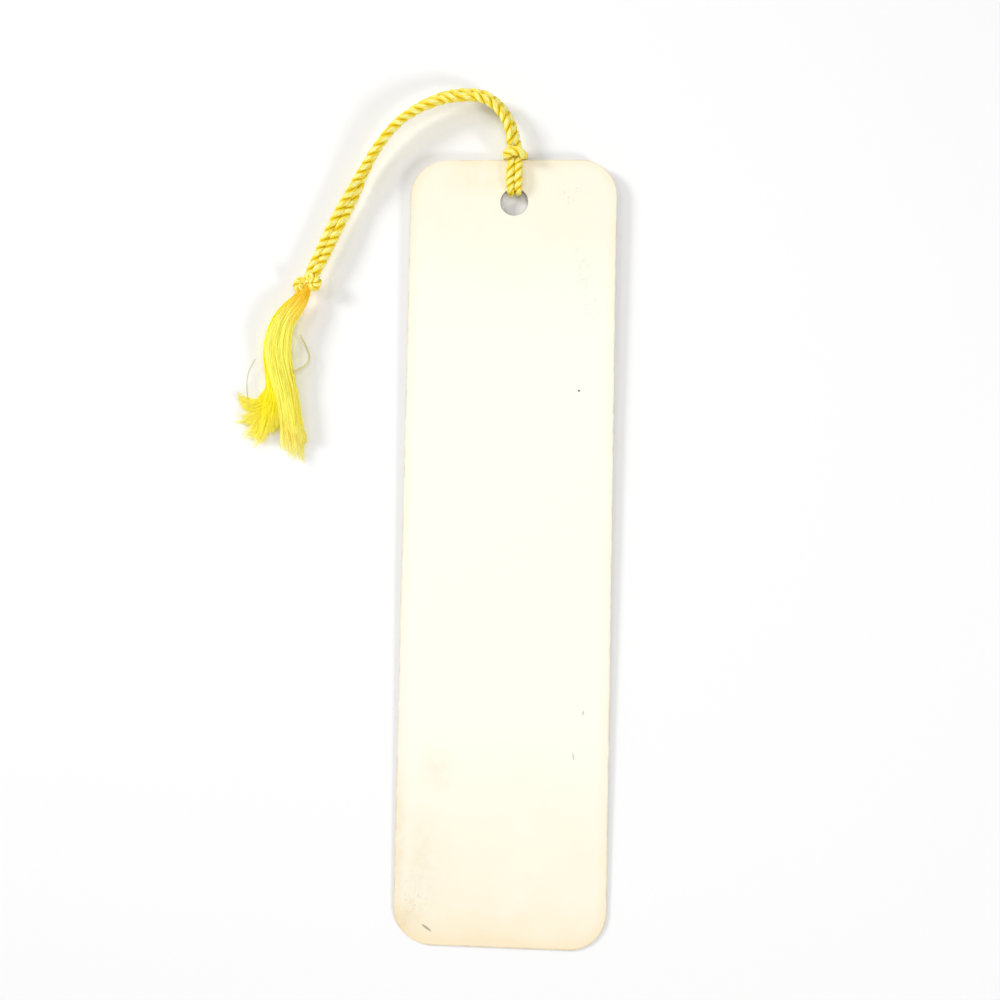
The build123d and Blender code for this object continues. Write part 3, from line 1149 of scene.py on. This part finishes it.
@dataclass
class Fringe:
    """The floss below the knot: four locks of fine threads, one of which fans out to the side, and two strays."""

    # real filaments are too fine to show, so the threads are drawn thicker and fewer
    thread_radius: float = 0.08
    threads: int = 210
    flatness: float = 0.9
    wave: float = 2.2
    wave_length: float = 0.35
    drift: float = 0.9
    uneven: float = 0.19
    lowest: float = 0.1
    hang: Triple = (-0.3527, -0.9357, 0.0)
    hang_blend: Span = (2.0, 5.0)
    finish: RayonFloss = RayonFloss()
    # the side lock's floss is a darker, more saturated copy of the same floss: painted shade, as it lies low and comes
    # out from under the bundle
    tuft_shaded_finish: RayonFloss = RayonFloss(lit_tone="#FFF60C", shade_tone="#FFE000", pale="#FFF67C")
    stray_finish: RayonFloss = RayonFloss(
        lit_tone="#E8E0A8", shade_tone="#DCD090", root="#DCD090", pale="#E8E0A8", painted_glow=0.0
    )

    # the bundle from inside the knot: x, y, height of its middle, width, depth
    run: Rows = (
        (-50.6, 63.6, 3.3, 2.2, 2.0),
        (-51.3, 61.7, 3.3, 3.5, 2.7),
        (-52.7, 59.3, 3.2, 4.7, 3.3),
        (-54.9, 57.0, 3.0, 6.0, 4.4),
        (-57.1, 53.6, 2.9, 6.8, 5.2),
        (-58.1, 47.4, 3.0, 7.9, 5.6),
        (-57.0, 41.5, 2.9, 7.3, 5.4),
        (-55.4, 36.0, 2.7, 6.4, 5.0),
        (-54.5, 30.0, 2.3, 6.4, 4.2),
        (-53.9, 25.6, 1.9, 7.2, 3.4),
        (-52.9, 19.6, 1.3, 9.6, 2.4),
    )
    # how far the guides spread: shares of the bundle's width and depth, and how they wind from section to section
    guide_across: float = 0.36
    guide_over: float = 0.22
    guide_winding: Span = (0.5, 2.0)
    # each front lock: its name, its place across the bundle, how far along the last section it ends, and its seed
    front_locks: tuple[tuple[str, float, float, int], ...] = (
        ("right", -0.78, 1.12, 3),
        ("middle", -0.26, 0.98, 14),
        ("left", 0.26, 0.6, 25),
    )
    # a front lock's two guides: how far apart they lie, how much sooner the second ends, and its half width's share
    front_apart: float = 0.12
    front_sooner: float = 0.1
    front_width: float = 0.19

    # the side lock: its threads, seed and ends, and its root's sections, place, lowest level and step, and width
    tuft_threads: int = 62
    tuft_seed: int = 51
    tuft_uneven: float = 0.1
    tuft_rows: int = 7
    tuft_lane: float = 0.72
    tuft_level: Span = (-0.6, 0.35)
    tuft_width: float = 0.15
    # where its wisps part, and their half width there
    fork: Triple = (-58.3, 36.8, 2.3)
    fork_width: float = 1.8
    # each wisp of it: the x and y of its bend and of its tip, and its half width at both
    wisps: Rows = (
        (-63.6, 32.0, -68.9, 37.3, 1.4, 0.7),
        (-63.2, 31.4, -68.3, 35.9, 1.5, 0.9),
        (-62.4, 32.4, -67.5, 36.2, 1.4, 0.9),
        (-62.6, 30.6, -68.0, 30.8, 0.9, 0.7),
        (-62.2, 29.8, -68.2, 28.8, 0.9, 0.8),
        (-61.8, 28.4, -66.2, 25.4, 1.3, 1.1),
        (-61.4, 27.4, -65.2, 24.0, 1.4, 1.2),
        (-60.6, 27.4, -63.0, 22.4, 1.4, 1.1),
        (-61.4, 36.2, -61.8, 28.6, 1.5, 1.7),
        (-60.2, 31.4, -61.4, 24.2, 1.6, 1.4),
        (-59.2, 31.6, -59.8, 24.6, 1.6, 1.4),
        (-58.1, 31.6, -58.5, 25.4, 1.6, 1.4),
        (-57.1, 31.4, -57.2, 25.8, 1.5, 1.4),
    )
    bend_height: float = 2.2
    bend_step: float = 0.4
    tip_height: float = 0.5

    # the strays, a few threads each that stand out of the bundle: their seed, their step and each one's half width
    stray_threads: int = 4
    stray_seed: int = 7
    stray_step: float = 0.8
    stray_widths: Span = (0.3, 0.02)
    strays: tuple[Rows, ...] = (
        ((-55.4, 40.6, 3.6), (-52.6, 42.4, 3.2), (-50.0, 44.0, 2.4), (-49.5, 46.8, 1.8), (-52.4, 51.6, 1.4)),
        ((-63.4, 45.4, 1.6), (-64.9, 43.2, 1.3), (-65.5, 39.8, 1.2), (-65.0, 36.0, 1.8), (-64.4, 33.6, 2.2)),
    )

    def guide(self, lane: float, level: float, rows: int, reach: float = 1.0) -> list[Vector]:
        """Runs one guide along the bundle.

        Args:
            lane: place across the bundle, from -1 at its right to 1 at its left.
            level: place in its depth, from -1 to 1.
            rows: how many of the bundle's sections it passes.
            reach: how far along the last section it ends.

        Returns:
            The guide's points in millimetres.
        """
        by_row, by_lane = self.guide_winding
        points = []
        for i, (*middle, width, depth) in enumerate(self.run[:rows]):
            across = directions(self.run, i)[1] * lane * width * self.guide_across
            sway = level * math.cos(by_row * i + by_lane * lane)
            points.append(Vector(middle) + across + UP * sway * depth * self.guide_over)
        points[-1] = points[-2].lerp(points[-1], reach)
        return points

    def values(self, threads: int, seed: int, uneven: float, material: Material) -> dict[str, Any]:
        """Gives the inputs of the tree that fills a lock.

        Args:
            threads: how many threads follow each guide.
            seed: the seed of what is random in it.
            uneven: the share of a thread's length by which it may fall short.
            material: the floss's finish.

        Returns:
            The inputs by name.
        """
        return {
            "Thread radius": self.thread_radius * MM,
            "Flatness": self.flatness,
            "Wave": self.wave * MM,
            "Wave length": self.wave_length,
            "Drift": self.drift,
            "Uneven ends": uneven,
            "Lowest": self.lowest * MM,
            "Threads": threads,
            "Seed": seed,
            "Material": material,
        }

    def grow_lock(
        self,
        name: str,
        guides: list[list[Vector]],
        widths: list[list[float]],
        tree: NodeTree,
        values: dict[str, Any],
    ) -> Object:
        """Grows one lock on its guides and hangs it under the knot.

        Args:
            name: the lock's name, after "floss_".
            guides: the points of each guide in millimetres.
            widths: the half width at each point.
            tree: the tree that fills a lock.
            values: the tree's inputs by name.

        Returns:
            The lock.
        """
        curve = new_spline_curve(f"{name}_guides", guides, [[w * MM for w in row] for row in widths])
        lock = grow(curve, tree, values, f"floss_{name}")
        pivot = joint_vector("fringe_swing", "pos_m")
        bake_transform(lock, "cord", "fringe", *blend_ends(pivot, Vector(self.hang), self.hang_blend))
        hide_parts(f"fringe_{name}_lock")
        return lock

    def build(self, tree: NodeTree, material: Material) -> list[Object]:
        """Grows the locks and the strays.

        Args:
            tree: the tree that fills a lock.
            material: the floss's finish.

        Returns:
            The locks, from the right to the side lock, and the strays.
        """
        locks = []
        rows = len(self.run)
        widths = [[self.front_width * row[3] for row in self.run]] * 2
        for name, lane, reach, seed in self.front_locks:
            guides = [
                self.guide(lane - self.front_apart, 1.0, rows, reach),
                self.guide(lane + self.front_apart, -1.0, rows, reach - self.front_sooner),
            ]
            values = self.values(self.threads, seed, self.uneven, material)
            locks.append(self.grow_lock(name, guides, widths, tree, values))
        values = self.values(self.tuft_threads, self.tuft_seed, self.tuft_uneven, self.tuft_shaded_finish.material())
        locks.append(self.grow_lock("side", *self.side_guides(), tree, values))
        return [*locks, self.grow_strays()]

    def side_guides(self) -> tuple[list[list[Vector]], list[list[float]]]:
        """Runs the side lock's guides, which share a root and part into wisps at the fork.

        Returns:
            The guides' points in millimetres and their half widths.
        """
        guides = []
        widths = []
        lowest, step = self.tuft_level
        for i, (bend_x, bend_y, tip_x, tip_y, bend_width, tip_width) in enumerate(self.wisps):
            root = self.guide(self.tuft_lane, lowest + step * (i % 3), self.tuft_rows)
            bend = Vector((bend_x, bend_y, self.bend_height + self.bend_step * (i % 2)))
            guides.append([*root, Vector(self.fork), bend, Vector((tip_x, tip_y, self.tip_height))])
            root_widths = [self.tuft_width * row[3] for row in self.run[: self.tuft_rows]]
            widths.append([*root_widths, self.fork_width, bend_width, tip_width])
        return guides, widths

    def grow_strays(self) -> Object:
        """Grows the threads that stand out of the bundle, smooth and of one length.

        Returns:
            The strays.
        """
        routes = [[Vector(point) for point in stray] for stray in self.strays]
        widths = [[w * MM] * len(route) for w, route in zip(self.stray_widths, routes)]
        curve = new_spline_curve("stray_guides", routes, widths)
        values = self.values(self.stray_threads, self.stray_seed, 0.0, self.stray_finish.material())
        tree = FlossTree(step=self.stray_step).build()
        strays = grow(curve, tree, values | {"Wave": 0.0}, "floss_strays")
        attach(strays, "fringe")
        return strays


@dataclass
class Studio:
    """The pale table, a softbox overhead, lamps to both sides of the card and the camera above it."""

    eye: Triple = (25.0, -14.3, 332.8)
    tilt: Triple = (4.486, 4.526, 1.190)
    view_angle: float = 40.0
    nearest: float = 10.0
    table: str = "#F4F4F4"
    table_size: float = 6000.0
    table_gap: float = 0.01
    softbox: Triple = (50.0, 60.0, 560.0)
    softbox_size: float = 300.0
    softbox_power: float = 0.85
    # each lamp: its name, its height and its turn from the card's right in degrees, its size and its power
    lamps: tuple[tuple[str, float, float, float, float], ...] = (
        ("left_low", 28.0, 156.0, 380.0, 10.0),
        ("left_high", 56.0, 150.0, 320.0, 1.8),
        ("right_low", 31.0, -38.0, 340.0, 6.6),
    )
    lamp_distance: float = 1400.0
    fill: float = 0.378

    def build(self) -> None:
        """Sets up the table, the lights and the camera."""
        bpy.ops.mesh.primitive_plane_add(size=self.table_size * MM, location=(0, 0, -self.table_gap * MM))
        table = bpy.context.object
        table.name = "table"
        matt = {"Base Color": linear(self.table), "Roughness": 0.8, "Specular IOR Level": 0.1}
        table.data.materials.append(new_material("white_table", matt)[0])
        self.light("softbox", Vector(self.softbox), self.softbox_size, self.softbox_power)
        for name, height, turn, size, power in self.lamps:
            rise = math.radians(height)
            way = Vector((math.cos(math.radians(turn)), math.sin(math.radians(turn)), 0)) * math.cos(rise)
            self.light(name, (way + UP * math.sin(rise)) * self.lamp_distance, size, power)
        world = bpy.data.worlds.new("fill")
        world.use_nodes = True
        background = world.node_tree.nodes["Background"].inputs
        background["Strength"].default_value = self.fill
        background["Color"].default_value = (1.0, 1.0, 1.0, 1.0)
        bpy.context.scene.world = world
        data = bpy.data.cameras.new("camera")
        data.angle = math.radians(self.view_angle)
        data.clip_start = self.nearest * MM
        camera = new_object("camera", data)
        camera.location = Vector(self.eye) * MM
        camera.rotation_euler = tuple(math.radians(a) for a in self.tilt)
        bpy.context.scene.camera = camera
        bpy.context.scene.view_settings.view_transform = "Standard"

    def light(self, name: str, place: Vector, size: float, power: float) -> None:
        """Sets up one round lamp that faces the origin.

        Args:
            name: the lamp's name.
            place: where it stands, in millimetres.
            size: its width.
            power: its power in watts.
        """
        data = bpy.data.lights.new(name, "AREA")
        data.shape = "DISK"
        data.size = size * MM
        data.energy = power
        lamp = new_object(name, data)
        lamp.location = place * MM
        lamp.rotation_euler = place.to_track_quat("Z", "Y").to_euler()


def main() -> None:
    """Builds the bookmark's looks piece by piece."""
    logging.basicConfig(level=logging.INFO)
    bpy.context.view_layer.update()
    card = Card()
    card.dress()
    laid = LaidCordTree().build()
    floss = FlossTree().build()
    cord = Cord()
    cord_material = cord.finish.material()
    pieces = cord.build(card, laid, cord_material)
    pieces.append(Knot().build(cord, laid, cord_material))
    fringe = Fringe()
    pieces += fringe.build(floss, fringe.finish.material())
    Studio().build()
    for piece in pieces:
        log.info("%s: %d faces", piece.name, len(piece.data.polygons))


if __name__ == "__main__":
    main()
